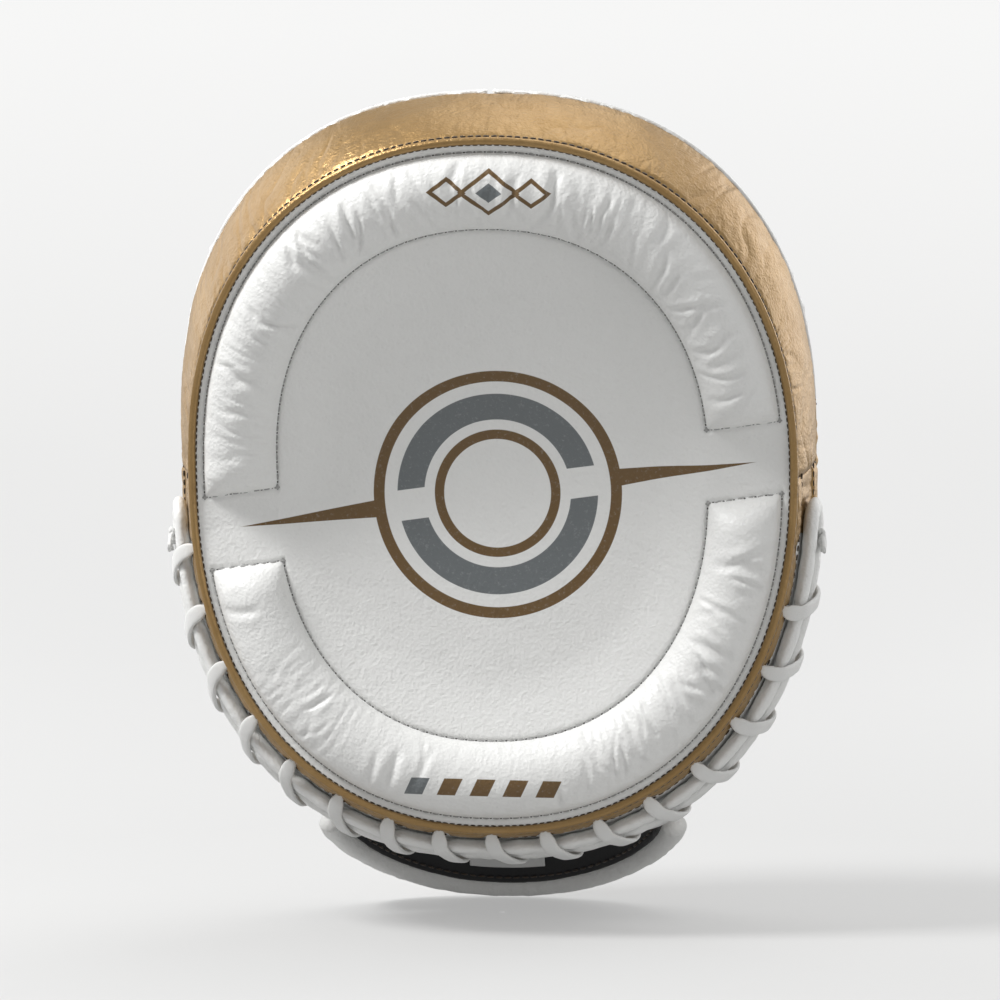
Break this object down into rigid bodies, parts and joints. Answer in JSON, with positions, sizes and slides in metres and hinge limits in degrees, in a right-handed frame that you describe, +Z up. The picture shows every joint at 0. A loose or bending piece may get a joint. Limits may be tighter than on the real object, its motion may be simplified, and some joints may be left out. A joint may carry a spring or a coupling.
{
  "type": "focus mitt",
  "caption": "Bent oval striking pad with padded rim rolls, a laced side wall, a finger hood, a thumb sleeve, a ring-turned wrist strap with a hook-and-loop flap, and a flared cuff.",
  "frame": {"origin": "middle of the wrist opening, between the pad's back and the strap, at the strap's mid height", "axes": "+Z up the hand towards the fingertips, -Y towards the striking side, +X towards the strap ring's side"},
  "size_m": [0.2168, 0.132, 0.2674],
  "materials": {
    "white_leather": "fine-grained white cowhide, satin",
    "gold_leather": "metallic bronze-gold leather, satin with worn highlights",
    "suede": "white suede, matt",
    "lace": "flat white suede lace",
    "foam": "closed-cell foam, matt",
    "board": "thin stiffening sheet",
    "lining": "pale woven lining",
    "black_lining": "smooth black lining, slightly glossy",
    "label": "blank white woven label",
    "badge": "blank raised soft badge",
    "hook_loop": "black hook-and-loop tape",
    "ring": "glossy black ring"
  },
  "bodies": {
    "pad": {"strike_cover": "white_leather", "upper_roll_foam": "foam", "lower_roll_foam": "foam", "impact_foam": "foam", "shock_foam": "foam", "backing_board": "board", "palm_foam": "foam", "back_panel": "white_leather", "face_piping": "gold_leather", "upper_gusset": "gold_leather", "lower_gusset_front": "gold_leather", "lower_gusset_back": "gold_leather", "lace_tongue": "white_leather", "tongue_welts": "white_leather", "lace": "lace", "lace_knots": "lace", "heel_pad": "white_leather", "palm_ball": "white_leather", "finger_hood": "white_leather", "hood_lining": "lining", "hood_band": "gold_leather", "hood_binding": "white_leather", "side_wall_near": "suede", "side_wall_far": "suede", "thumb_sleeve": "white_leather", "dorsal_panel": "gold_leather", "dorsal_foam": "foam", "dorsal_lining": "lining", "strap_anchor": "gold_leather", "strap_ring": "ring", "wrist_strap": "white_leather", "wrist_strap_edges": "gold_leather", "loop_tape": "hook_loop", "strap_return": "white_leather", "strap_return_edges": "gold_leather"},
    "strap_flap": {"strap_end": "white_leather", "strap_end_edges": "gold_leather", "hook_tape": "hook_loop", "badge": "badge"},
    "cuff": {"cuff_panel": "gold_leather", "cuff_gores": "white_leather", "cuff_foam": "foam", "cuff_lining": "black_lining", "cuff_binding": "white_leather", "cuff_label": "label"}
  },
  "joints": [
    {"name": "flap_peel", "type": "hinge", "parent": "pad", "child": "strap_flap", "pos_m": [0.04745, 0.03, 0], "axis": [0, 0, -1], "range_deg": [0, 150], "stiffness_Nm_per_rad": 0.02},
    {"name": "cuff_flare", "type": "hinge", "parent": "pad", "child": "cuff", "pos_m": [0, 0.0135, -0.0321], "axis": [1, 0, 0], "range_deg": [-4, 20], "stiffness_Nm_per_rad": 1}
  ]
}
